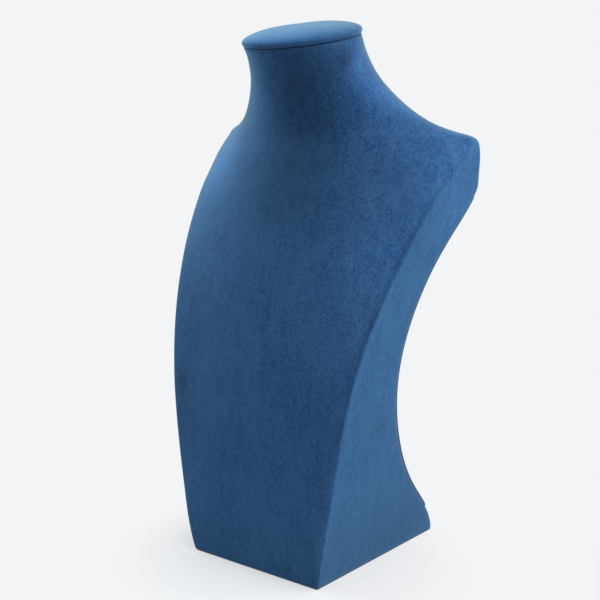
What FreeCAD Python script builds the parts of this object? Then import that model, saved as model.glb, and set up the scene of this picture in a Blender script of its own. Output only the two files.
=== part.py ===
import FreeCAD, Part
import math
import os
import Sketcher
from FreeCAD import Placement, Rotation, Vector

# Necklace stand: a carved bust covered with suede, with a padded cap on its neck,
# a suede-faced card on its hollow back and a thin raw board under its foot.
# The origin is the middle of the foot, on the floor. The front looks along -Y.

doc = FreeCAD.newDocument("NecklaceStand")
sizes = doc.addObject("Spreadsheet::Sheet", "Sizes")


def setSizes(labelColumn, valueColumn, values):
    """Write one column of named sizes, in millimetres or degrees, each beside its name."""
    for row, (name, value) in enumerate(values.items(), start=1):
        sizes.set(labelColumn + str(row), name)
        sizes.set(valueColumn + str(row), str(value))
        sizes.setAlias(valueColumn + str(row), name)


bodySizes = {
    "foot_width": 92,
    "foot_depth": 115.3,
    "foot_bow": 0.5,                 # middle of the foot's front edge ahead of its corners
    "waist_depth": 47.4,             # from the foot's front to the deepest hollow of the back
    "shoulder_width": 175.4,
    "shoulder_height": 240.2,
    "shoulder_front": 29.8,          # behind the foot's front, as are the next two
    "shoulder_crease": 80.5,         # edge between front and side at the shoulder's tip
    "shoulder_back": 91.5,
    "neck_height": 296.2,
    "neck_radius": 32.2,
    "neck_setback": 44.2,            # axis of the neck's end behind the foot's front
    "foot_crease_radius": 1.5,       # edge between front and side at the foot, almost sharp
    "shoulder_crease_radius": 5,     # the same edge at the shoulder, soft
    "back_edge_radius": 3,
    "cover_thickness": 0.8,          # suede on the body
    "hem_return": 10,                # suede turned in under the foot
    "back_return": 14,               # suede turned in behind the sides
    "neck_return": 8,                # suede turned in over the neck's end
    "base_thickness": 0.8,
    "base_inset": 0.5,               # board edge behind the suede's face
    "base_corner_radius": 1.2,
}
panelAndCapSizes = {
    "panel_board_thickness": 1.2,
    "panel_cover_thickness": 0.5,
    "panel_margin": 1,               # panel's side inside the body's side
    "panel_lift": 17,                # panel's lower edge above the floor
    "panel_drop": 27,                # panel's upper edge below the shoulders
    "panel_corner_radius": 5,
    "cap_tilt": 10.8,                # the neck's end and the cap lean to the front
    "cap_overhang": 1.2,             # cap beyond the neck, all round
    "cap_cover_thickness": 0.8,
    "cap_board_thickness": 2,
    "cap_board_inset": 1.8,          # wadding between the board's side and the suede
    "cap_rim_height": 4.2,
    "cap_crown": 2.4,                # padded middle above the rim
    "cap_rim_radius": 2.8,
    "cap_lower_radius": 0.8,
    "cap_return": 6,                 # suede turned in under the cap
}
setSizes("A", "B", bodySizes)
setSizes("C", "D", panelAndCapSizes)
doc.recompute()


def size(name):
    return float(sizes.get(name))


# Control sections of the carved body, as shares of the way between its main sizes.
# From the foot to the shoulders: height, half width, middle of the front, edge between front and
# side, then how much of the waist's hollow the back has.
trunkSections = [
    ("foot", 0, 0, 0, 0, 0),
    ("heel", 0.058, 0.067, -0.073, -0.027, 0.074),
    ("shin", 0.158, 0.164, -0.092, -0.016, 0.502),
    ("knee", 0.291, 0.294, -0.083, -0.007, 0.829),
    ("thigh", 0.437, 0.405, -0.033, 0.016, 1),
    ("waist", 0.583, 0.542, 0.132, 0.113, 0.955),
    ("ribs", 0.729, 0.73, 0.413, 0.317, 0.649),
    ("chest", 0.824, 0.831, 0.644, 0.504, 0.147),
    ("armpit", 0.874, 0.884, 0.752, 0.615, -0.066),
    ("tip", 0.899, 0.913, 0.802, 0.687, -0.116),
    ("arm", 0.917, 0.935, 0.858, 0.742, -0.066),
    ("blade", 0.966, 1, 0.941, 0.888, -0.005),
    ("shoulder", 1, 0.981, 1, 1, 0),
]
# From the shoulders to the neck's end: height, half width, front, edge, back. The last number is
# the roundness: 0 has flat sides and back, 1 is an oval.
neckSections = [
    ("ridge", 0.065, 0.021, -0.022, -0.124, 0.033, 0.08),
    ("slope", 0.139, 0.42, -0.011, -0.041, 0.099, 0.45),
    ("collar", 0.5, 0.828, 0.185, 0.372, 0.265, 0.9),
    ("throat", 0.739, 0.966, 0.556, 0.647, 0.662, 1),
    ("end", 1, 1, 1, 1, 1, 1),
]
fields = ("height", "half_width", "front", "crease", "back")


# The body's form

degree = 3
halfSteps = 12                                  # steps from the back middle to the front middle
ringStep = math.pi / halfSteps
frontShares = (0.8, 0.52, 0.25)                 # front control points, as shares of the half width
ovalFactor = 3 / (2 + math.cos(ringStep))       # how far control points stand outside their oval
footMiddle = size("foot_depth") / 2


def footSizes():
    return (0, size("foot_width") / 2, -size("foot_bow"), 0, size("foot_depth"))


def shoulderSizes():
    return (size("shoulder_height"), size("shoulder_width") / 2, size("shoulder_front"),
            size("shoulder_crease"), size("shoulder_back"))


def neckSizes():
    radius, setback = size("neck_radius"), size("neck_setback")
    return (size("neck_height"), radius, setback - radius, setback, setback + radius)


def between(start, end, shares):
    return {field: a + (b - a) * share for field, a, b, share in zip(fields, start, end, shares)}


def trunkRow(name, height, width, front, crease, hollow):
    """Sizes of a section between foot and shoulders. Below the waist the back comes from the foot."""
    row = between(footSizes(), shoulderSizes(), (height, width, front, crease, 0))
    low = name in ("foot", "heel", "shin", "knee", "thigh")
    far = size("foot_depth") if low else size("shoulder_back")
    row["back"] = far + (size("waist_depth") - far) * hollow
    return dict(row, name=name, roundness=0, lean=0)


def neckRow(name, *shares):
    """Sizes of a section between shoulders and neck's end. It leans from the slope upwards."""
    slope = neckSections[1][1]
    lean = max(0, shares[0] - slope) / (1 - slope)
    return dict(between(shoulderSizes(), neckSizes(), shares), name=name, roundness=shares[-1], lean=lean)


def moveIn(row, inset):
    """The section moved in by inset all round, and down by it from the shoulders up."""
    climb = min(1, row["height"] / size("shoulder_height"))
    softer = size("shoulder_crease_radius") - size("foot_crease_radius")
    row["crease_radius"] = size("foot_crease_radius") + softer * climb ** 2
    row["tilt"] = math.radians(size("cap_tilt")) * row["lean"] ** 2
    row["half_width"] -= inset
    row["front"] += inset - footMiddle
    row["crease"] += inset - footMiddle
    row["back"] -= inset + footMiddle
    if row["name"] == "foot":
        row["height"] += size("base_thickness") + inset
    if climb == 1:
        row["height"] -= inset
    return row


def bodyRows(inset=0):
    rows = [trunkRow(*section) for section in trunkSections]
    rows += [neckRow(*section) for section in neckSections]
    return [moveIn(row, inset) for row in rows]


def squareRing(row):
    """Right half of a section with flat sides: back middle, side, crease, front middle."""
    halfWidth, front, crease, back = (row[key] for key in ("half_width", "front", "crease", "back"))
    backEdge = size("back_edge_radius")
    soft = row["crease_radius"]

    def frontPoint(share):
        return share * halfWidth, front + (crease - front) * share ** 2

    points = [(0, back), (halfWidth / 2, back), (halfWidth - backEdge, back), (halfWidth, back),
              (halfWidth, back - backEdge), (halfWidth, (crease + soft + back - backEdge) / 2),
              (halfWidth, crease + soft), (halfWidth, crease), frontPoint(1 - soft / halfWidth)]
    points += [frontPoint(share) for share in frontShares]
    points.append((0, front))
    return points


def ovalRing(row):
    """Right half of an oval of the section's width and depth, evenly spaced."""
    middle = (row["front"] + row["back"]) / 2
    halfDepth = (row["back"] - row["front"]) / 2
    angles = [math.pi / 2 - step * ringStep for step in range(halfSteps + 1)]
    return [(row["half_width"] * ovalFactor * math.cos(angle),
             middle + halfDepth * ovalFactor * math.sin(angle)) for angle in angles]


def controlRing(row):
    """The closed section between square and oval, leaning about its middle by the row's tilt."""
    oval = row["roundness"]
    half = [(a[0] * (1 - oval) + b[0] * oval, a[1] * (1 - oval) + b[1] * oval)
            for a, b in zip(squareRing(row), ovalRing(row))]
    ring = half + [(-x, y) for x, y in reversed(half[1:-1])]
    middle = (row["front"] + row["back"]) / 2
    return [Vector(x, middle + (y - middle) * math.cos(row["tilt"]),
                   row["height"] + (y - middle) * math.sin(row["tilt"])) for x, y in ring]


def heightKnots(count):
    """Knots of a cubic over this many control rows, and how often each counts."""
    spans = count - degree
    return [step / spans for step in range(spans + 1)], [degree + 1] + [1] * (spans - 1) + [degree + 1]


def closedSolid(faces):
    shell = Part.Shell(faces)
    shell.sewShape()
    solid = Part.Solid(shell)
    if solid.Volume < 0:
        solid.reverse()
    return solid


def bodySolid(rows):
    """Solid inside the smooth surface that the control sections draw towards them."""
    rings = [controlRing(row) for row in rows]
    count = len(rings[0])
    knots, repeats = heightKnots(len(rows))
    surface = Part.BSplineSurface()
    surface.buildFromPolesMultsKnots([[ring[index] for ring in rings] for index in range(count)],
                                     [1] * (count + 1), repeats, list(range(count + 1)), knots,
                                     True, False, degree, degree)
    ends = [Part.Face(Part.Wire(surface.vIso(knot).toShape())) for knot in (0, 1)]
    return closedSolid([surface.toShape()] + ends)


def uprightEdge(rows, place, bottom, top):
    """Line drawn by a place (x, y) in each row, cut between two heights."""
    knots, repeats = heightKnots(len(rows))
    curve = Part.BSplineCurve()
    curve.buildFromPolesMultsKnots([Vector(*place(row), row["height"]) for row in rows],
                                   repeats, knots, False, degree)

    def level(height):
        low, high = 0, 1
        for _ in range(50):
            middle = (low + high) / 2
            if curve.value(middle).z < height:
                low = middle
            else:
                high = middle
        return low

    curve.segment(level(bottom), level(top))
    return curve.toShape()


def faceBetween(first, second):
    """Flat face between two upright edges, closed by level lines at both ends."""
    ends = [Part.makeLine(first.Vertexes[end].Point, second.Vertexes[end].Point) for end in (0, -1)]
    return Part.Face(Part.Wire(Part.__sortEdges__([first, second] + ends)))


def backSheet(margin, inner, outer, bottom, top, cornerRadius):
    """Sheet that follows the back between two offsets, cut to the back's outline less a margin."""
    rows = bodyRows()
    reach = size("shoulder_width") / 2
    profile = faceBetween(*[uprightEdge(rows, lambda row: (-reach, row["back"] + offset), bottom, top)
                            for offset in (inner, outer)])
    sides = [uprightEdge(rows, lambda row: (side * (row["half_width"] - margin), -footMiddle),
                         bottom, top) for side in (-1, 1)]
    outline = faceBetween(*sides).extrude(Vector(0, 3 * footMiddle, 0))
    corners = [edge for edge in outline.Edges if abs(edge.tangentAt(edge.FirstParameter).y) > 0.9]
    return profile.extrude(Vector(2 * reach, 0, 0)).common(outline.makeFillet(cornerRadius, corners))


# Document helpers

def formFeature(name, shape):
    feature = doc.addObject("Part::Feature", name)
    feature.Shape = shape
    return feature


def cutFeature(name, base, tools):
    """Base less its tools, which are joined first."""
    tool = doc.addObject("Part::MultiFuse", name + "_tools")
    tool.Shapes = tools
    cut = doc.addObject("Part::Cut", name)
    cut.Base = base
    cut.Tool = tool
    return cut


def bind(thing, expressions):
    for key, expression in expressions.items():
        thing.setExpression(key, expression)


def planeSketch(body, role, name):
    sketch = body.newObject("Sketcher::SketchObject", name)
    plane = next(item for item in body.Origin.OriginFeatures if item.Role == role)
    sketch.AttachmentSupport = [(plane, "")]
    sketch.MapMode = "FlatFace"
    return sketch


def constrain(sketch, *parts):
    return "Constraints[%d]" % sketch.addConstraint(Sketcher.Constraint(*parts))


def roundEdges(body, feature, name, edges, radius):
    """Fillet some edges of a body's last feature by a radius from the sheet."""
    fillet = body.newObject("PartDesign::Fillet", name)
    fillet.Base = (feature, edges)
    bind(fillet, {"Radius": radius})
    doc.recompute()
    return fillet


def neckFrame(lift):
    """Middle of the neck's end, leaning with it, raised by lift along its axis."""
    tilt = Rotation(Vector(1, 0, 0), size("cap_tilt"))
    middle = Vector(0, size("neck_setback") - footMiddle, size("neck_height"))
    return Placement(middle + tilt.multVec(Vector(0, 0, lift)), tilt)


def panelEnds():
    return size("panel_lift"), size("shoulder_height") - size("panel_drop")


# Body and its suede

def makeCore():
    return formFeature("core", bodySolid(bodyRows(size("cover_thickness"))))


def makeBodyCover(core):
    """Suede skin of the body, open behind, under the foot and over the neck's end."""
    outline = formFeature("CoverOutline", bodySolid(bodyRows()))
    reach = 2 * size("cover_thickness")
    bottom, top = panelEnds()
    behind = formFeature("BackOpening", backSheet(
        size("back_return"), -reach, reach, bottom + size("back_return"),
        top - size("back_return"), size("panel_corner_radius")))
    under = doc.addObject("Part::Box", "FootOpening")
    bind(under, {
        "Length": "Sizes.foot_width - 2 * Sizes.hem_return",
        "Width": "Sizes.foot_depth - 2 * Sizes.hem_return",
        "Height": "Sizes.base_thickness + 2 * Sizes.cover_thickness",
        "Placement.Base.x": "Sizes.hem_return - Sizes.foot_width / 2",
        "Placement.Base.y": "Sizes.hem_return - Sizes.foot_depth / 2"})
    over = doc.addObject("Part::Cylinder", "NeckOpening")
    bind(over, {"Radius": "Sizes.neck_radius - Sizes.neck_return",
                "Height": "4 * Sizes.cover_thickness"})
    over.Placement = neckFrame(-2 * size("cover_thickness"))
    return cutFeature("body_cover", outline, [core, behind, under, over])


# Base board

def makeBaseBoard():
    """Thin raw board glued under the turned-in hem, its edge showing below the suede."""
    board = doc.addObject("PartDesign::Body", "base_board")
    sketch = planeSketch(board, "XY_Plane", "BaseOutline")
    halfWidth, halfDepth = size("foot_width") / 2, size("foot_depth") / 2
    corners = [Vector(-halfWidth, -halfDepth), Vector(halfWidth, -halfDepth),
               Vector(halfWidth, halfDepth), Vector(-halfWidth, halfDepth)]
    for index in range(4):
        sketch.addGeometry(Part.LineSegment(corners[index], corners[(index + 1) % 4]), False)
    for index in range(4):
        constrain(sketch, "Coincident", index, 2, (index + 1) % 4, 1)
        constrain(sketch, ("Horizontal", "Vertical")[index % 2], index)
    constrain(sketch, "Symmetric", 0, 1, 1, 2, -1, 1)
    width = constrain(sketch, "DistanceX", 0, 1, 0, 2, 2 * halfWidth)
    depth = constrain(sketch, "DistanceY", 1, 1, 1, 2, 2 * halfDepth)
    bind(sketch, {width: "Sizes.foot_width - 2 * Sizes.base_inset",
                  depth: "Sizes.foot_depth - 2 * Sizes.base_inset"})
    plate = board.newObject("PartDesign::Pad", "BasePlate")
    plate.Profile = sketch
    bind(plate, {"Length": "Sizes.base_thickness"})
    doc.recompute()
    upright = ["Edge%d" % number for number, edge in enumerate(plate.Shape.Edges, start=1)
               if abs(edge.tangentAt(edge.FirstParameter).z) > 0.9]
    roundEdges(board, plate, "BaseCorners", upright, "Sizes.base_corner_radius")
    return board


# Back panel

def makeBackPanel():
    """Card that follows the hollow back, faced with suede and cut flush, its edge left raw."""
    board, cover = size("panel_board_thickness"), size("panel_cover_thickness")
    bottom, top = panelEnds()
    layers = (("back_board", 0, board), ("back_cover", board, board + cover))
    return [formFeature(name, backSheet(size("panel_margin"), inner, outer, bottom, top,
                                        size("panel_corner_radius")))
            for name, inner, outer in layers]


# Cap on the neck

def makeCapForm(name, radius, rim, rimRadius, lift):
    """Round pad with a crowned top: a profile turned about the cap's axis, its rim rounded."""
    body = doc.addObject("PartDesign::Body", name)
    sketch = planeSketch(body, "XZ_Plane", name + "Profile")
    rimHeight, crown, reach = size("cap_rim_height"), size("cap_crown"), size("neck_radius")
    arcRadius = (reach ** 2 + crown ** 2) / (2 * crown)
    arcMiddle = Vector(0, rimHeight + crown - arcRadius)
    arc = Part.Arc(Part.Circle(arcMiddle, Vector(0, 0, 1), arcRadius),
                   math.atan2(rimHeight - arcMiddle.y, reach), math.pi / 2)
    outer, side = Vector(reach, 0), Vector(reach, rimHeight)
    sketch.addGeometry(Part.LineSegment(Vector(0, 0), outer), False)
    sketch.addGeometry(Part.LineSegment(outer, side), False)
    sketch.addGeometry(arc, False)
    sketch.addGeometry(Part.LineSegment(Vector(0, rimHeight + crown), Vector(0, 0)), False)
    constrain(sketch, "Coincident", 0, 2, 1, 1)
    constrain(sketch, "Coincident", 1, 2, 2, 1)
    constrain(sketch, "Coincident", 2, 2, 3, 1)
    constrain(sketch, "Coincident", 3, 2, 0, 1)
    constrain(sketch, "Coincident", 0, 1, -1, 1)
    constrain(sketch, "Horizontal", 0)
    constrain(sketch, "Vertical", 1)
    constrain(sketch, "Vertical", 3)
    constrain(sketch, "PointOnObject", 2, 3, -2)
    radiusKey = constrain(sketch, "DistanceX", 0, 1, 0, 2, reach)
    rimKey = constrain(sketch, "DistanceY", 1, 1, 1, 2, rimHeight)
    crownKey = constrain(sketch, "DistanceY", 1, 2, 2, 2, crown)
    bind(sketch, {radiusKey: radius, rimKey: rim, crownKey: "Sizes.cap_crown"})
    turned = body.newObject("PartDesign::Revolution", name + "Turned")
    turned.Profile = sketch
    turned.ReferenceAxis = (sketch, ["V_Axis"])
    turned.Angle = 360
    doc.recompute()
    upper = ["Edge%d" % number for number, edge in enumerate(turned.Shape.Edges, start=1)
             if edge.Closed and edge.BoundBox.ZMin > size("cap_board_thickness") / 2]
    roundEdges(body, turned, name + "Rim", upper, rimRadius)
    body.Placement = neckFrame(lift)
    return body


def makeCap():
    """Board, padding and suede of the cap: the suede also turns in under the board."""
    cover = size("cap_cover_thickness")
    outline = makeCapForm("CapOutline", "Sizes.neck_radius + Sizes.cap_overhang",
                          "Sizes.cap_rim_height", "Sizes.cap_rim_radius", 0)
    filling = makeCapForm("CapFilling",
                          "Sizes.neck_radius + Sizes.cap_overhang - Sizes.cap_cover_thickness",
                          "Sizes.cap_rim_height - 2 * Sizes.cap_cover_thickness",
                          "Sizes.cap_rim_radius - Sizes.cap_cover_thickness", cover)
    lower = ["Edge%d" % number for number, edge in enumerate(outline.Tip.Shape.Edges, start=1)
             if edge.Closed and edge.BoundBox.ZMax < 0.01 and edge.BoundBox.ZMin > -0.01]
    roundEdges(outline, outline.Tip, "CapLowerEdge", lower, "Sizes.cap_lower_radius")
    board = doc.addObject("Part::Cylinder", "cap_board")
    bind(board, {
        "Radius": "Sizes.neck_radius + Sizes.cap_overhang - Sizes.cap_cover_thickness"
                  " - Sizes.cap_board_inset",
        "Height": "Sizes.cap_board_thickness"})
    board.Placement = neckFrame(cover)
    padding = doc.addObject("Part::Cut", "cap_padding")
    padding.Base = filling
    padding.Tool = board
    opening = doc.addObject("Part::Cylinder", "CapOpening")
    bind(opening, {
        "Radius": "Sizes.neck_radius + Sizes.cap_overhang - Sizes.cap_return",
        "Height": "2 * Sizes.cap_cover_thickness"})
    opening.Placement = neckFrame(-cover / 2)
    return [board, padding, cutFeature("cap_cover", outline, [filling, opening])]


core = makeCore()
subParts = [core, makeBodyCover(core), makeBaseBoard()] + makeBackPanel() + makeCap()
for part in subParts:
    part.Label = part.Name
doc.recompute()

for item in doc.Objects:
    if "Invalid" in item.State or "Error" in item.State:
        raise RuntimeError("failed object: " + item.Label)
for part in subParts:
    if part.Shape.isNull() or not part.Shape.isValid() or not part.Shape.Solids:
        raise RuntimeError("bad shape: " + part.Label)

os.makedirs("parts", exist_ok=True)
for part in subParts:
    part.Shape.exportStep(os.path.join("parts", part.Label + ".step"))
    print(part.Label, len(part.Shape.Solids), "solid", round(part.Shape.Volume), "mm3")
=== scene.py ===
import bpy
import math
import numpy as np
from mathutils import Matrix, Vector


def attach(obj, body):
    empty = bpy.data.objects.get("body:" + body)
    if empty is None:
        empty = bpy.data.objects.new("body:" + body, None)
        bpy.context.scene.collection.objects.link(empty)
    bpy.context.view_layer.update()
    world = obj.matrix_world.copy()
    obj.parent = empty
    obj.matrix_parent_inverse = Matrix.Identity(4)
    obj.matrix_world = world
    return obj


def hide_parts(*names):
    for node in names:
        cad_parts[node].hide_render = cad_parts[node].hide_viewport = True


# Necklace stand: a suede-covered bust with a padded cap and a hollow back, on a pale floor.
# Sizes in the dictionaries are in mm, where no note says otherwise.
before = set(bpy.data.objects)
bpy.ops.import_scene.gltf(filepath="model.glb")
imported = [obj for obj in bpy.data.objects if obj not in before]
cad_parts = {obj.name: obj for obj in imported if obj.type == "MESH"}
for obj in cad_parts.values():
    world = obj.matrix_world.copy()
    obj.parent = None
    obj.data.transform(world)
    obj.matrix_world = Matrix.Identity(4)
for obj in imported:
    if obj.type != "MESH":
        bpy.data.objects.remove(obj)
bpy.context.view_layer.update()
mm = 0.001
print("frame loaded:", sorted(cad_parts))


# Camera

camera = {
    "place": (417.39, -536.46, 276.41),   # from the middle of the foot
    "turn": 38.696,                       # degrees, to the left of straight on
    "dip": 10.759,                        # degrees below level
    "focal": 1186.8,                      # in pixels of a picture this wide:
    "picture": 600,
    "sensor": 36.0,
    "clip": (0.01, 50),                   # metres
}


def makeCamera(c):
    data = bpy.data.cameras.new("camera")
    data.sensor_width = c["sensor"]
    data.lens = c["focal"] * c["sensor"] / c["picture"]
    data.clip_start, data.clip_end = c["clip"]
    view = bpy.data.objects.new("camera", data)
    view.location = [x * mm for x in c["place"]]
    view.rotation_euler = (math.radians(90 - c["dip"]), 0, math.radians(c["turn"]))
    bpy.context.collection.objects.link(view)
    bpy.context.scene.camera = view


makeCamera(camera)
print("camera placed")


# Shader nodes

def node(tree, kind, inputs=None, **settings):
    # a new node. An input is given as a value, or as the output that is linked to it.
    made = tree.nodes.new(kind)
    for key, value in settings.items():
        setattr(made, key, value)
    for key, value in (inputs or {}).items():
        if isinstance(value, bpy.types.NodeSocket):
            tree.links.new(value, made.inputs[key])
        else:
            made.inputs[key].default_value = value
    return made


def maths(tree, operation, a, b):
    return node(tree, "ShaderNodeMath", {0: a, 1: b}, operation=operation).outputs[0]


def mixColors(tree, share, a, b):
    # a where share is 0, b where it is 1
    return node(tree, "ShaderNodeMix", {0: share, 6: a, 7: b}, data_type="RGBA").outputs[2]


def mixShaders(tree, share, a, b):
    return node(tree, "ShaderNodeMixShader", {0: share, 1: a, 2: b}).outputs[0]


def newMaterial(name):
    material = bpy.data.materials.new(name)
    material.use_nodes = True
    material.node_tree.nodes.clear()
    return material, material.node_tree


# Meshes from grids of points

def gridPiece(name, points, closedAround, middle=None, outward=True):
    # points: rows x columns x 3. Each quad joins two neighbours of a row to the same two of the
    # next row; closedAround also joins the last column to the first. middle closes the first row
    # with a fan of triangles. outward False turns every face over.
    rows, columns = points.shape[:2]
    numbers = np.arange(rows * columns).reshape(rows, columns)
    right = np.roll(numbers, -1, axis=1)
    last = columns if closedAround else columns - 1
    quads = np.stack([numbers[:-1, :last], right[:-1, :last], right[1:, :last],
                      numbers[1:, :last]], axis=-1).reshape(-1, 4)
    vertices = points.reshape(-1, 3)
    faces = (quads if outward else quads[:, ::-1]).tolist()
    if middle is not None:
        vertices = np.vstack([vertices, middle])
        fan = np.stack([np.full(columns, rows * columns), right[0], numbers[0]], axis=-1)
        faces += (fan if outward else fan[:, ::-1]).tolist()
    mesh = bpy.data.meshes.new(name)
    mesh.from_pydata(vertices.tolist(), [], faces)
    mesh.update()
    mesh.polygons.foreach_set("use_smooth", np.ones(len(mesh.polygons), bool))
    made = bpy.data.objects.new(name, mesh)
    bpy.context.collection.objects.link(made)
    return made


def thicken(piece, thickness):
    # the piece's own surface stays outside, and the wall grows inwards
    wall = piece.modifiers.new("wall", "SOLIDIFY")
    wall.thickness = thickness * mm
    wall.offset = -1
    wall.use_even_offset = False


def gridNormals(points):
    # cross product of the steps round and up a grid that is closed round, made one long
    up = np.gradient(points, axis=0)
    around = (np.roll(points, -1, axis=1) - np.roll(points, 1, axis=1)) / 2
    normals = np.cross(around, up)
    return normals / np.maximum(np.linalg.norm(normals, axis=-1, keepdims=True), 1e-12)


def ripples(points, size, amount, seed, waves=6, spread=(0.7, 1.5)):
    # slight unevenness: sine waves in mixed directions, averaged, each this size times a number
    # in the spread from crest to crest
    random = np.random.default_rng(seed)
    total = 0
    for _ in range(waves):
        direction = random.normal(size=3)
        direction *= 2 * np.pi / (size * np.linalg.norm(direction) * random.uniform(*spread))
        total = total + np.sin(points @ direction + random.uniform(0, 2 * np.pi))
    return amount * total / waves


# Room

room = {
    "worldLight": 0.59,
    "worldColor": (0.97, 0.985, 1.0, 1),
    "seenColor": (0.895, 0.905, 0.918, 1),      # backdrop as the camera sees it
    "floorColor": (0.41, 0.417, 0.424, 1),      # what lights the object from below
    "floorSeen": (0.47, 0.475, 0.482, 1),       # the same floor as the camera sees it
    "floorRings": (0.2, 0.6, 1.2, 2.5),         # radii in metres
    "floorColumns": 64,
    "floorGlow": 0.5,                     # share of it that the camera sees as plain backdrop,
    "fadeMiddle": (0.02, -0.04, 0),       # which rises to all of it, by the distance from here,
    "fadeStart": 0.045,                   # in metres, between these two
    "fadeEnd": 0.13,
    # name: place in metres, size in metres, power in watts, colour
    "lamps": {
        "right": ((0.9, 0.1, 1.3), 1.9, 47.0, (1, 1, 1)),
        "top": ((-0.1, 0.35, 1.35), 1.5, 3.0, (1, 1, 1)),
        "left": ((-1.3, -0.3, 0.8), 1.3, 17.5, (0.84, 0.96, 1)),
    },
    "lampAim": (0, 0, 0.17),
}


def seenRays(tree):
    # 1 where the camera, a reflection or a view through glass looks at it, else 0
    path = node(tree, "ShaderNodeLightPath").outputs
    first = maths(tree, "MAXIMUM", path["Is Camera Ray"], path["Is Glossy Ray"])
    return maths(tree, "MAXIMUM", first, path["Is Transmission Ray"])


def makeWorld(r):
    world = bpy.data.worlds.new("studio")
    bpy.context.scene.world = world
    world.use_nodes = True
    tree = world.node_tree
    tree.nodes.clear()
    light = node(tree, "ShaderNodeBackground", {"Color": r["worldColor"],
                                                "Strength": r["worldLight"]})
    seen = node(tree, "ShaderNodeBackground", {"Color": r["seenColor"], "Strength": 1})
    sky = mixShaders(tree, seenRays(tree), light.outputs[0], seen.outputs[0])
    node(tree, "ShaderNodeOutputWorld", {"Surface": sky})


def makeFloor(r):
    # a flat disc: each ring's radius times the cosine and the sine of the angle, closed round
    # its middle by a fan. The camera sees it part lit, with the object's shadow, and part as
    # plain backdrop, and as backdrop only further out.
    angles = np.linspace(0, 2 * np.pi, r["floorColumns"], endpoint=False)
    x, y = np.outer(r["floorRings"], np.cos(angles)), np.outer(r["floorRings"], np.sin(angles))
    points = np.stack([x, y, np.zeros_like(x)], axis=-1)
    floor = gridPiece("floor", points, closedAround=True, middle=np.zeros(3), outward=False)
    material, tree = newMaterial("paleFloor")
    coords = node(tree, "ShaderNodeTexCoord").outputs["Object"]
    away = node(tree, "ShaderNodeVectorMath", {0: coords, 1: r["fadeMiddle"]},
                operation="DISTANCE").outputs["Value"]
    fade = node(tree, "ShaderNodeMapRange", {
        "Value": away, "From Min": r["fadeStart"], "From Max": r["fadeEnd"],
        "To Min": r["floorGlow"]}, interpolation_type="SMOOTHSTEP").outputs[0]
    lit = node(tree, "ShaderNodeBsdfDiffuse", {"Color": r["floorColor"]}).outputs[0]
    seenLit = node(tree, "ShaderNodeBsdfDiffuse", {"Color": r["floorSeen"]}).outputs[0]
    glow = node(tree, "ShaderNodeEmission", {"Color": r["seenColor"]}).outputs[0]
    seen = mixShaders(tree, fade, seenLit, glow)
    both = mixShaders(tree, seenRays(tree), lit, seen)
    node(tree, "ShaderNodeOutputMaterial", {"Surface": both})
    floor.data.materials.append(material)


def makeLamps(r):
    for name, (place, size, power, colour) in r["lamps"].items():
        data = bpy.data.lights.new(name + "Lamp", "AREA")
        data.shape, data.size, data.energy, data.color = "DISK", size, power, colour
        lamp = bpy.data.objects.new(name + "Lamp", data)
        lamp.location = place
        towards = Vector(r["lampAim"]) - Vector(place)
        lamp.rotation_euler = towards.to_track_quat("-Z", "Y").to_euler()
        bpy.context.collection.objects.link(lamp)


makeWorld(room)
makeFloor(room)
makeLamps(room)
print("room lit")


# The body's form, from the same control sections as the core below it

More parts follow.
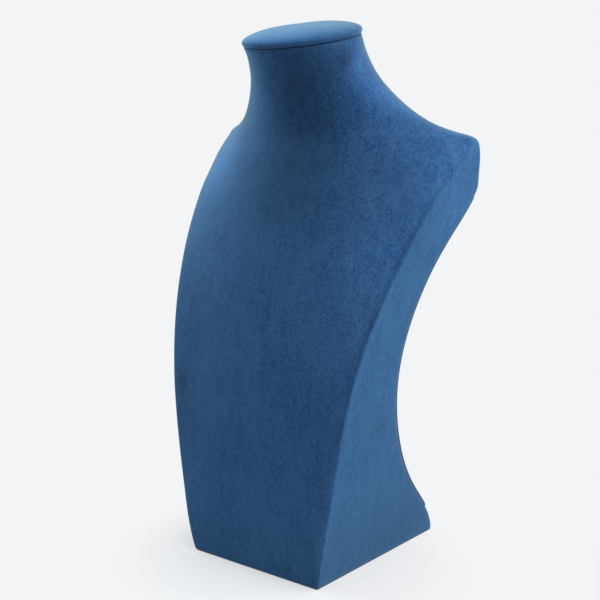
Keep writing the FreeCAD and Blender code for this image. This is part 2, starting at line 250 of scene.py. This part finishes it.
body = {
    # name: height, half width, front, crease, back (behind the foot's front), roundness
    "sections": {
        "foot": (0, 46, -0.5, 0, 115.3, 0),
        "heel": (13.93, 48.79, -2.71, -2.17, 110.28, 0),
        "shin": (37.95, 52.84, -3.29, -1.29, 81.21, 0),
        "knee": (69.9, 58.26, -3.01, -0.56, 59.01, 0),
        "thigh": (104.97, 62.89, -1.5, 1.29, 47.4, 0),
        "waist": (140.04, 68.6, 3.5, 9.1, 49.38, 0),
        "ribs": (175.11, 76.44, 12.01, 25.52, 62.88, 0),
        "chest": (197.92, 80.65, 19.01, 40.57, 85.02, 0),
        "armpit": (209.93, 82.86, 22.29, 49.51, 94.41, 0),
        "tip": (215.94, 84.07, 23.8, 55.3, 96.62, 0),
        "arm": (220.26, 84.99, 25.5, 59.73, 94.41, 0),
        "blade": (232.03, 87.7, 28.01, 71.48, 91.72, 0),
        "shoulder": (240.2, 86.91, 29.8, 80.5, 91.5, 0),
        "ridge": (243.84, 86.53, 30.19, 85, 91, 0.08),
        "slope": (247.98, 64.39, 30, 81.99, 90.01, 0.45),
        "collar": (268.2, 41.75, 26.51, 67, 87.5, 0.9),
        "throat": (281.58, 34.09, 19.9, 57.01, 81.5, 1),
        "end": (296.2, 32.2, 12, 44.2, 76.4, 1),
    },
    "baseThickness": 0.8,
    "footCrease": 1.5,                    # softness of the crease at the foot
    "shoulderCrease": 5,                  # and at the shoulder
    "backEdge": 3,
    "capTilt": 10.8,                      # degrees
    "frontShares": (0.8, 0.52, 0.25),     # of the half width, across the front
    "halfSteps": 12,
    "creasePlace": 7,                     # of the crease among the ring's control points
    "measuredPlaces": (5, 7, 12),         # side, crease and front, for even rows
    "measuredLevels": 2000,
    "suede": 0.8,
    "bendAngles": (90, 67, 45, 22),       # degrees, rows round the hem and the rim
    "returnStart": 2.0,                   # where the turned-in suede goes flat
    "hemDrop": 0.35,                      # the hem hangs this far over the board's edge
    "hemReturn": 9,
    "hemRadius": 0.7,
    "neckReturn": 7,
    "neckRadius": 1.0,
    "neckFlare": 0.55,                    # the suede swells out below the rim
    "neckFlareHeight": 5,
    "neckGap": 0.8,                       # shadow gap below the cap
    "rowsUp": 230,
    "lowestLevel": 0.004,                 # rows nearer the hem or the rim are left out
    "highestLevel": 0.994,
    "columnsPerStep": 8,
    "seamColumns": (0.035, 0.075),        # more columns, beside the seam behind the neck
    "seamHalfWidth": 0.9,
    "seamDepth": 0.4,
    "seamFoot": 214,                      # height at which it begins
    "unevenness": 0.12,
    "rippleSize": 60,
    "seed": 4,
    "calmRows": 8,                        # rows over which it dies out at the hem and the rim
}
sectionTable = np.array(list(body["sections"].values()), float)
heights, halfWidths, fronts, creases, backs, ovals = sectionTable.T
sectionHeight = dict(zip(body["sections"], heights))
footMiddle = backs[0] / 2
rise = heights.copy()                     # the foot's row sits on the base board
rise[0] += body["baseThickness"]
capTilt = math.radians(body["capTilt"])
capAxes = np.array([[1, 0, 0],            # the neck end's own x, y and z directions
                    [0, math.cos(capTilt), math.sin(capTilt)],
                    [0, -math.sin(capTilt), math.cos(capTilt)]])


def heightWeights(levels, count):
    # clamped cubic spline over count rows: share of every row at each level from 0 to 1,
    # built up from steps by the usual two-term rule, one degree at a time
    knots = np.concatenate([np.zeros(3), np.linspace(0, 1, count - 2), np.ones(3)])
    levels = np.clip(levels, 0, 1 - 1e-9)[:, None]
    weights = ((levels >= knots[:-1]) & (levels < knots[1:])).astype(float)
    for degree in (1, 2, 3):
        low, high = knots[:-degree - 1], knots[degree + 1:]
        span = knots[degree:-1] - low
        nextSpan = high - knots[1:-degree]
        rising = np.where(span > 0, (levels - low) / np.where(span > 0, span, 1), 0)
        falling = np.where(nextSpan > 0, (high - levels) / np.where(nextSpan > 0, nextSpan, 1), 0)
        weights = rising * weights[:, :-1] + falling * weights[:, 1:]
    return weights


def roundWeights(places, count):
    # closed uniform cubic spline over count points: four neighbours share each place
    start = np.floor(places).astype(int)
    part = places - start
    shares = np.stack([(1 - part) ** 3, 3 * part ** 3 - 6 * part ** 2 + 4,
                       -3 * part ** 3 + 3 * part ** 2 + 3 * part + 1, part ** 3]) / 6
    weights = np.zeros((len(places), count))
    for offset, share in zip((-1, 0, 1, 2), shares):
        np.add.at(weights, (np.arange(len(places)), (start + offset) % count), share)
    return weights


def controlRings(inset):
    # control points for each section, from the middle of the back round to the middle of the
    # front: a flat-sided ring and an oval, mixed by roundness, mirrored about x = 0 and leaned
    # about the section's middle by the tilt
    halfWidth, front = halfWidths - inset, fronts + inset
    crease, back = creases + inset, backs - inset
    climb = np.clip(heights / sectionHeight["shoulder"], 0, 1)
    soft = body["footCrease"] + (body["shoulderCrease"] - body["footCrease"]) * climb ** 2
    slope, end = sectionHeight["slope"], sectionHeight["end"]
    tilt = capTilt * np.clip((heights - slope) / (end - slope), 0, 1) ** 2
    edge = body["backEdge"]
    shares = [1 - soft / halfWidth] + list(body["frontShares"]) + [0]
    flatX = [0 * halfWidth, halfWidth / 2, halfWidth - edge, halfWidth, halfWidth, halfWidth,
             halfWidth, halfWidth] + [share * halfWidth for share in shares]
    flatY = [back, back, back, back, back - edge, (crease + soft + back - edge) / 2,
             crease + soft, crease] + [front + (crease - front) * share ** 2 for share in shares]
    step = np.pi / body["halfSteps"]
    angles = (np.pi / 2 - step * np.arange(body["halfSteps"] + 1))[:, None]
    middle, halfDepth = (front + back) / 2, (back - front) / 2
    reach = 3 / (2 + math.cos(step))      # sets the oval's control points out, so that it fills
    ovalX = halfWidth * reach * np.cos(angles)
    ovalY = middle + halfDepth * reach * np.sin(angles)
    x = np.array(flatX) * (1 - ovals) + ovalX * ovals
    y = np.array(flatY) * (1 - ovals) + ovalY * ovals
    x, y = np.concatenate([x, -x[-2:0:-1]]), np.concatenate([y, y[-2:0:-1]])
    return np.stack([x, middle + (y - middle) * np.cos(tilt) - footMiddle,
                     rise + (y - middle) * np.sin(tilt)], axis=-1).transpose(1, 0, 2)


rings = controlRings(0)
insetRings = controlRings(1) - rings      # what an inset of 1 mm adds


def bodyPoints(levels, insets, places):
    # each level's ring: weights up the rows times weights round the ring times control points
    up = heightWeights(levels, len(heights))
    around = roundWeights(places, rings.shape[1])
    outer = np.einsum("vr,rpc,up->vuc", up, rings, around)
    inward = np.einsum("vr,rpc,up->vuc", up, insetRings, around)
    return outer + insets[:, None, None] * inward


def levelsByLength(b):
    # levels spaced so that the rows are evenly far apart along the side of the body
    fine = np.linspace(0, 1, b["measuredLevels"])
    line = bodyPoints(fine, np.zeros_like(fine), np.array(b["measuredPlaces"], float))
    steps = np.linalg.norm(np.diff(line, axis=0), axis=-1).max(axis=1)
    length = np.concatenate([[0], np.cumsum(steps)])
    return np.interp(np.linspace(0, length[-1], b["rowsUp"]), length, fine)


# Painted shade and painted highlight on the body, with a few finger marks in the nap: above 0 is
# paler, below 0 is darker

napAndShade = {
    # spots: middle, radii, amount. Apart from the finger marks, each spot is painted shade where
    # its amount is below 0 and painted highlight where it is above 0
    "spots": [
        ((14, -34, 275), (24, 20, 22), -0.27),     # neck's front
        ((12, -28, 247), (32, 20, 20), -0.20),     # neck's foot
        ((5, -33, 212), (38, 20, 26), -0.26),      # middle of the chest
        ((-66, -4, 230), (24, 26, 22), 1.10),      # left of the chest
        ((-70, -20, 196), (16, 24, 26), 0.15),     # and below that
        ((-28, -22, 262), (14, 18, 26), 0.23),     # neck's left
        ((46, -6, 264), (18, 22, 24), 0.32),       # neck's right
        ((76, 8, 234), (20, 24, 14), 0.15),        # right shoulder
        ((64, -30, 182), (20, 20, 34), 0.20),      # right ribs
        ((85, 25, 210), (14, 34, 32), 0.38),       # top of the side
        ((66, -10, 110), (14, 50, 50), 0.16),      # middle of the side
        ((48, 5, 10), (14, 60, 20), -0.25),        # foot of the side
        ((52, -48, 140), (20, 20, 45), 0.05),      # right of the waist
        ((-60, -48, 130), (18, 20, 60), -0.20),    # left of the waist
        ((5, -54, 130), (40, 20, 60), -0.03),      # middle of the front
        # the next four are finger marks in the nap; the last is a painted highlight along the left
        # edge
        ((33, -18, 284), (4, 7, 5), -0.35),        # finger mark below the cap
        ((36, -10, 282), (3, 5, 5), 0.30),         # and beside it
        ((61, -20, 86), (6, 6, 4), -0.28),         # finger mark on the side
        ((-55, -56, 101), (5, 8, 7), -0.34),       # finger mark on the left edge
        ((-62, -50, 116), (9, 12, 55), 0.12),      # along that edge
    ],
    # lines along both creases: painted shade and painted highlight where the rounded crease turns,
    # and a paler line
    # near the foot. Name: how far in front of the crease, width, amount, heights and its share at
    # each of them
    "lines": {
        "creaseShade": (0, 1.7, -0.26, (130, 180, 192, 215, 236), (0, 0.8, 1, 0.45, 0)),
        "creaseHighlight": (4.2, 2, 0.16, (130, 180, 192, 215, 236), (0, 0.8, 1, 0.45, 0)),
        "side": (-5, 3, 0.14, (20, 50, 140, 190), (0.2, 1, 1, 0.2)),
        "sideShade": (-1.1, 1.2, -0.38, (85, 108, 150, 175), (0, 1, 1, 0)),
        "footPaleLine": (0.8, 1.0, 0.30, (0, 12, 70, 90), (0.5, 1, 1, 0)),
    },
}


def shadeAndNapLay(n, points, places):
    # a spot adds its amount times a bell curve of the distance from its middle, measured in its
    # radii. A line adds its amount times its share at that height times a bell curve of the
    # distance from it along the row, measured in its width.
    shadeAndLay = 0
    for middle, radii, amount in n["spots"]:
        away = ((points - np.array(middle)) / np.array(radii)) ** 2
        shadeAndLay = shadeAndLay + amount * np.exp(-away.sum(axis=-1))
    length = np.cumsum(np.linalg.norm(np.roll(points, -1, axis=1) - points, axis=-1), axis=1)
    height = points[..., 2].mean(axis=1)
    crease = body["creasePlace"]
    for place, side in ((crease, 1), (rings.shape[1] - crease, -1)):
        column = np.argmin(abs(places - place))
        ahead = (length[:, column, None] - length) * side
        for distance, width, amount, levels, shares in n["lines"].values():
            share = np.interp(height, levels, shares)[:, None]
            shadeAndLay = shadeAndLay + amount * share * np.exp(-((ahead - distance) / width) ** 2)
    return shadeAndLay


def makeBodySuede(b):
    # a grid of rows: turned in under the foot, round the hem, up the form, round the neck's rim
    # and turned in over the neck's end. Round a bend of a radius, a row goes in by the radius
    # times 1 - cosine and up by the radius times 1 - sine.
    bend = np.radians(b["bendAngles"])
    inwards, upwards = 1 - np.cos(bend), 1 - np.sin(bend)
    hemInsets = np.concatenate([[b["hemReturn"], b["hemReturn"] / 2, b["returnStart"]],
                                b["hemRadius"] * inwards])
    hemRise = np.concatenate([[0, 0, -b["hemDrop"]], b["hemRadius"] * upwards - b["hemDrop"]])
    rimInsets = np.concatenate([b["neckRadius"] * inwards[::-1],
                                [b["returnStart"], b["neckReturn"] / 2, b["neckReturn"]]])
    rimDrop = np.concatenate([b["neckRadius"] * upwards[::-1], [0, 0, 0]]) + b["neckGap"]
    levels = levelsByLength(b)
    levels = levels[(levels > b["lowestLevel"]) & (levels < b["highestLevel"])]
    allLevels = np.concatenate([np.zeros(len(hemInsets)), levels, np.ones(len(rimInsets))])
    insets = np.concatenate([hemInsets, np.zeros(len(levels)), rimInsets])
    count, nearSeam = rings.shape[1], np.array(b["seamColumns"])
    places = np.arange(0, count, 1 / b["columnsPerStep"])
    places = np.sort(np.concatenate([places, nearSeam, count - nearSeam]))[::-1]
    # the flare below the rim is a bell curve of about the distance from the neck's end
    spans = len(heights) - 3
    below = (1 - allLevels) * spans * 3 * (heights[-1] - heights[-2])
    insets = insets - b["neckFlare"] * np.exp(-(below / b["neckFlareHeight"]) ** 2)
    points = bodyPoints(allLevels, insets, places)
    points[:len(hemInsets), :, 2] += hemRise[:, None]
    points[-len(rimInsets):] -= rimDrop[:, None, None] * capAxes[2]
    # unevenness, then the closing seam down the back of the neck, a narrow groove
    normals = gridNormals(points)
    steps = np.arange(len(levels))
    free = np.zeros((len(allLevels), 1))
    free[len(hemInsets):-len(rimInsets), 0] = np.clip(
        np.minimum(steps, steps[::-1]) / b["calmRows"], 0, 1)
    uneven = ripples(points, b["rippleSize"], b["unevenness"], b["seed"])
    points += normals * (uneven * free)[..., None]
    seam = np.exp(-(points[..., 0] / (b["seamHalfWidth"] / 2)) ** 2)
    seam = seam * (points[..., 1] > 0) * (points[..., 2] > b["seamFoot"])
    points -= normals * (b["seamDepth"] * seam * free)[..., None]
    piece = gridPiece("bodySuede", points * mm, closedAround=True)
    # the painted shade and painted highlight, with the finger marks, go on the suede as a point
    # attribute
    shadeAttribute = piece.data.attributes.new("shadeLay", "FLOAT", "POINT")
    shadeAttribute.data.foreach_set("value", shadeAndNapLay(napAndShade, points, places).ravel())
    thicken(piece, b["suede"])
    return piece


# The panel in the hollow back

backPanel = {
    "margin": 1.0,
    "bottom": 17,
    "top": 213.2,
    "corner": 5,
    "board": 1.2,
    "suede": 0.5,
    "clearance": 0.05,                    # between the suede and the card
    "edgeRadius": 0.35,
    "measuredLevels": 4000,
    "rowsUp": 150,
    "crowding": 0.35,                     # 0 spaces the rows evenly, 1 crowds them at both ends
    "columns": 72,
    "unevenness": 0.12,
    "rippleSize": 45,
    "seed": 9,
    "calmEdge": 6,                        # the unevenness dies out this far from the edge
}


def backLine(levels):
    # height, half width and back of the body where its back is flat across
    up = heightWeights(levels, len(heights))
    return up @ rise, up @ halfWidths, up @ backs - footMiddle


def makeBackSuede(p):
    # suede on the back card: its half width shrinks at the corners like a quarter circle, its
    # face falls at the edge like one, and a last row and column all round drop to the card
    fine = np.linspace(0, 1, p["measuredLevels"])
    first, last = np.interp([p["bottom"], p["top"]], backLine(fine)[0], fine)
    even = np.linspace(0, 1, p["rowsUp"])
    crowded = (1 - np.cos(np.pi * even)) / 2
    share = p["crowding"] * crowded + (1 - p["crowding"]) * even
    height, halfWidth, back = backLine(first + (last - first) * share)
    endGap = np.minimum(height - height[0], height[-1] - height)
    missing = np.clip(p["corner"] - endGap, 0, None)
    shrink = p["corner"] - np.sqrt(p["corner"] ** 2 - missing ** 2)
    halfWidth = (halfWidth - p["margin"] - shrink)[:, None]
    across = np.sin(np.pi / 2 * np.linspace(-1, 1, p["columns"]))
    x = -halfWidth * across
    gap = np.minimum(halfWidth * (1 - abs(across)), endGap[:, None])
    radius = p["edgeRadius"]
    fall = radius - np.sqrt(np.clip(radius ** 2 - np.clip(radius - gap, 0, None) ** 2, 0, None))
    card = np.stack([x, np.broadcast_to(back[:, None] + p["board"], x.shape),
                     np.broadcast_to(height[:, None], x.shape)], axis=-1)
    uneven = ripples(card, p["rippleSize"], p["unevenness"], p["seed"])
    offset = p["suede"] - fall + uneven * np.clip(gap / p["calmEdge"], 0, 1)
    face = card + offset[..., None] * np.array([0, 1, 0])
    framed, bare = (np.pad(grid, ((1, 1), (1, 1), (0, 0)), mode="edge") for grid in (face, card))
    framed[[0, -1]], framed[:, [0, -1]] = bare[[0, -1]], bare[:, [0, -1]]
    piece = gridPiece("backSuede", framed * mm, closedAround=False)
    thicken(piece, p["suede"] - p["clearance"])
    return piece


# The padded cap on the neck

cap = {
    "overhang": 1.2,
    "height": 6.75,
    "widest": 1.4,                        # height of the widest place
    "tuck": 0.7,                          # the rim goes in by this much below it
    "hang": 0.3,                          # and down past the neck's end
    "fullness": 2.9,                      # 2 is an ellipse, more is flatter on top
    "suede": 0.7,
    "underReturn": (6, 3.5),              # rows turned in below, in from the widest place
    "rimRows": 9,
    "topRows": 48,
    "columns": 160,
    "unevenness": 0.25,
    "rippleSize": 24,
    "seed": 21,
    "puckers": 46,
    "puckerDepth": 0.06,
    "puckerHeight": 1.5,                  # half the height of the band that has them
    "puckerReturn": 3,                    # and how far in it goes
    "puckerDrift": 1.5,                   # uneven spacing, in waves of this many round the rim:
    "puckerWaves": 3,
}


def makeCapSuede(c):
    # a profile turned about the cap's axis: turned in below, a quarter ellipse out to the widest
    # place, then a superellipse: radius is the cosine to the power 2 / fullness, height the sine
    reach, low = halfWidths[-1] + c["overhang"], c["widest"]
    rimBend = np.linspace(-np.pi / 2, 0, c["rimRows"])
    topBend = np.linspace(0, np.pi / 2, c["topRows"])[1:-1]
    radius = np.concatenate([reach - np.array(c["underReturn"]),
                             reach - c["tuck"] * (1 - np.cos(rimBend)),
                             reach * np.cos(topBend) ** (2 / c["fullness"])])
    height = np.concatenate([[0, 0], low + (low + c["hang"]) * np.sin(rimBend),
                             low + (c["height"] - low) * np.sin(topBend)])
    angle = np.linspace(0, 2 * np.pi, c["columns"], endpoint=False)
    points = np.stack([np.outer(radius, np.cos(angle)), np.outer(radius, np.sin(angle)),
                       np.outer(height, np.ones_like(angle))], axis=-1)
    normals = gridNormals(points)
    rim = np.exp(-((height - low) / c["puckerHeight"]) ** 2) * (radius > reach - c["puckerReturn"])
    drift = c["puckerDrift"] * np.sin(c["puckerWaves"] * angle)
    pucker = c["puckerDepth"] * np.cos(c["puckers"] * angle + drift)
    bumps = ripples(points, c["rippleSize"], c["unevenness"], c["seed"]) + rim[:, None] * pucker
    points += normals * (bumps * np.clip(height / low, 0, 1)[:, None])[..., None]
    seat = np.array([0, (fronts[-1] + backs[-1]) / 2 - footMiddle, heights[-1]])
    points, summit = points @ capAxes + seat, np.array([0, 0, c["height"]]) @ capAxes + seat
    piece = gridPiece("capSuede", points[::-1] * mm, closedAround=True, middle=summit * mm,
                      outward=False)
    thicken(piece, c["suede"])
    return piece


bodySuede = makeBodySuede(body)
backSuede = makeBackSuede(backPanel)
capSuede = makeCapSuede(cap)
print("suede pieces made")

for piece, cadNodes, slot in ((bodySuede, ("body_cover",), "suede"),
                              (backSuede, ("back_cover",), "suede_back"),
                              (capSuede, ("cap_cover", "cap_padding"), "suede_cap")):
    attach(piece, "root")
    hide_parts(*cadNodes)


# Finishes

napPattern = {
    # name: noises of which it is the sum: size, detail, stretch, roughness, weight
    "patches": [(60, 2, (1, 1, 1), 0.55, 0.55), (17, 3, (1, 1, 0.6), 0.55, 0.45)],
    "streaks": [(5, 2, (1, 1, 0.2), 0.55, 1.0)],
    "mottle": [(3.2, 2, (1, 1, 1), 0.55, 0.42)],
    "grain": [(1.35, 2, (1, 1, 0.75), 0.65, 0.6), (0.75, 1, (1, 1, 1), 0.55, 0.4)],
    "roughness": 0.75,
    "roughnessSpread": 0.2,
    "layEffect": 1.4,                 # share of the colour added per unit of painted shade, painted highlight and nap lay
    "layLeast": 0.1,
    "lintScale": 95,                      # cells to a metre, some with a stray fibre:
    "lintDot": 0.035,                     # its radius, as a share of a cell
    "lintChance": 0.035,
    "lintColor": (0.2, 0.27, 0.36, 1),
}


def makeNapAndShadeGroup(n):
    # suede nap: brushed patches, soft streaks, mottle and fine grain between a deep and a pale
    # colour, times the painted shade and painted highlight carried by the body, and stray pale
    # fibres
    group = bpy.data.node_groups.new("suedeNapAndShade", "ShaderNodeTree")
    sockets = {
        "INPUT": {"Deep": "Color", "Pale": "Color", "Patch Amount": "Float",
                  "Streak Amount": "Float", "Grain Amount": "Float", "Lint Amount": "Float",
                  "Shade Lay": "Float"},
        "OUTPUT": {"Color": "Color", "Height": "Float", "Roughness": "Float"},
    }
    for way, kinds in sockets.items():
        for name, kind in kinds.items():
            group.interface.new_socket(name=name, in_out=way, socket_type="NodeSocket" + kind)
    given = node(group, "NodeGroupInput").outputs
    coords = node(group, "ShaderNodeTexCoord").outputs["Object"]

    def weighted(*parts):
        # sum of values, each times its weight
        total = 0.0
        for value, weight in parts:
            total = maths(group, "ADD", maths(group, "MULTIPLY", value, weight), total)
        return total

    def noise(size, detail, stretch, roughness):
        # noise about 0 with features of about this size
        vector = node(group, "ShaderNodeMapping", {"Vector": coords, "Scale": stretch}).outputs[0]
        texture = node(group, "ShaderNodeTexNoise", {
            "Vector": vector, "Scale": 1 / (size * mm), "Detail": detail, "Roughness": roughness})
        return maths(group, "SUBTRACT", texture.outputs["Fac"], 0.5)

    patches, streaks, mottle, grain = (
        weighted(*((noise(*settings), weight) for *settings, weight in n[name]))
        for name in ("patches", "streaks", "mottle", "grain"))
    share = weighted((patches, given["Patch Amount"]), (streaks, given["Streak Amount"]),
                     (mottle, 1.0), (grain, given["Grain Amount"]))
    color = mixColors(group, maths(group, "ADD", share, 0.5), given["Deep"], given["Pale"])
    # below 0 the painted shade and finger marks darken, above 0 the painted highlight lightens, by
    # the same share everywhere
    shadeFactor = maths(group, "ADD", maths(group, "MULTIPLY", given["Shade Lay"], n["layEffect"]), 1)
    shadeFactor = maths(group, "MAXIMUM", shadeFactor, n["layLeast"])
    shaded = node(group, "ShaderNodeVectorMath", {0: color, "Scale": shadeFactor},
                  operation="SCALE").outputs[0]
    cells = node(group, "ShaderNodeTexVoronoi", {"Vector": coords, "Scale": n["lintScale"]})
    dot = maths(group, "LESS_THAN", cells.outputs["Distance"], n["lintDot"])
    chance = node(group, "ShaderNodeSeparateColor", {0: cells.outputs["Color"]}).outputs[0]
    rare = maths(group, "GREATER_THAN", chance, 1 - n["lintChance"])
    lint = maths(group, "MULTIPLY", maths(group, "MULTIPLY", dot, rare), given["Lint Amount"])
    node(group, "NodeGroupOutput", {
        "Color": mixColors(group, lint, shaded, n["lintColor"]),
        "Height": maths(group, "ADD", grain, 0.5),
        "Roughness": maths(group, "ADD", maths(group, "MULTIPLY", patches, n["roughnessSpread"]),
                           n["roughness"])})
    return group


suedeFinish = {
    "napAndShade": {
        "Deep": (0.0004, 0.0142, 0.0647, 1),
        "Pale": (0.0256, 0.0722, 0.1547, 1),
        "Patch Amount": 0.8,
        "Streak Amount": 0.45,
        "Grain Amount": 1.75,
        "Lint Amount": 0.4,
    },
    "shader": {
        "Sheen Weight": 0.48,
        "Sheen Roughness": 0.5,
        "Sheen Tint": (0.157, 0.515, 1.0, 1),
        "Specular IOR Level": 0.06,
    },
    "grazingSheen": (0.115, 0.10, 0.005, 1),      # painted sheen: paler and greyer where the surface is seen edge on
    "grazingSheenPower": 5.0,
    "bumpDepth": 0.18,
}
napAndShadeGroup = makeNapAndShadeGroup(napPattern)


def makeSuedeFinish(name, s):
    material, tree = newMaterial(name)
    shadeLay = node(tree, "ShaderNodeAttribute", attribute_name="shadeLay").outputs["Fac"]
    napAndShadeNode = node(tree, "ShaderNodeGroup", {**s["napAndShade"], "Shade Lay": shadeLay}, node_tree=napAndShadeGroup)
    # painted sheen: towards grazing this paler colour takes over, facing to a power is its share
    facing = node(tree, "ShaderNodeLayerWeight", {"Blend": 0.5}).outputs["Facing"]
    share = maths(tree, "POWER", facing, s["grazingSheenPower"])
    bump = node(tree, "ShaderNodeBump", {"Strength": 1.0, "Distance": s["bumpDepth"] * mm,
                                         "Height": napAndShadeNode.outputs["Height"]})
    surface = node(tree, "ShaderNodeBsdfPrincipled", {
        **s["shader"], "Base Color": mixColors(tree, share, napAndShadeNode.outputs["Color"], s["grazingSheen"]),
        "Roughness": napAndShadeNode.outputs["Roughness"], "Normal": bump.outputs[0]})
    node(tree, "ShaderNodeOutputMaterial", {"Surface": surface.outputs[0]})
    return material


fibres = {
    "detail": 5,
    "noiseRoughness": 0.7,
    "darkBelow": 0.3,                     # all dark colour below this height of the noise
    "lightAbove": 0.7,
    "bumpStrength": 0.6,
    "bumpDepth": 0.1,
    "specular": 0.25,
}
boardFinishes = {
    # name: dark and light colour, fibres to a metre, stretch, roughness, nodes
    "rawFibreboard": ((0.20, 0.11, 0.055, 1), (0.34, 0.21, 0.12, 1), 900, (1, 1, 1), 0.85,
                      ("core", "cap_board")),
    # the base board is darkened to stand for the contact shadow along the foot: part its own
    # colour, part painted shade
    "hardboardAndFootShade": ((0.06, 0.04, 0.03, 1), (0.12, 0.08, 0.06, 1), 900, (1, 1, 1), 0.85,
                      ("base_board",)),
    "brownCard": ((0.03, 0.026, 0.024, 1), (0.06, 0.05, 0.045, 1), 700, (1, 3, 1), 0.9,
                  ("back_board",)),
}


def makeBoardFinish(f, name, dark, light, scale, stretch, roughness):
    # fibres: stretched noise between two colours, with a little height
    material, tree = newMaterial(name)
    coords = node(tree, "ShaderNodeTexCoord").outputs["Object"]
    vector = node(tree, "ShaderNodeMapping", {"Vector": coords, "Scale": stretch}).outputs[0]
    noise = node(tree, "ShaderNodeTexNoise", {
        "Vector": vector, "Scale": scale, "Detail": f["detail"],
        "Roughness": f["noiseRoughness"]}).outputs["Fac"]
    ramp = node(tree, "ShaderNodeValToRGB", {0: noise})
    first, last = ramp.color_ramp.elements
    first.position, first.color = f["darkBelow"], dark
    last.position, last.color = f["lightAbove"], light
    bump = node(tree, "ShaderNodeBump", {
        "Strength": f["bumpStrength"], "Distance": f["bumpDepth"] * mm, "Height": noise})
    surface = node(tree, "ShaderNodeBsdfPrincipled", {
        "Base Color": ramp.outputs[0], "Roughness": roughness,
        "Specular IOR Level": f["specular"], "Normal": bump.outputs[0]})
    node(tree, "ShaderNodeOutputMaterial", {"Surface": surface.outputs[0]})
    return material


blueSuede = makeSuedeFinish("blueSuede", suedeFinish)
for piece in (bodySuede, backSuede, capSuede):
    piece.data.materials.append(blueSuede)
for name, (*settings, cadNodes) in boardFinishes.items():
    finish = makeBoardFinish(fibres, name, *settings)
    for cadNode in cadNodes:
        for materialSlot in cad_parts[cadNode].material_slots:
            materialSlot.material = finish
print("finishes made")

bpy.context.scene.view_settings.view_transform = "Standard"
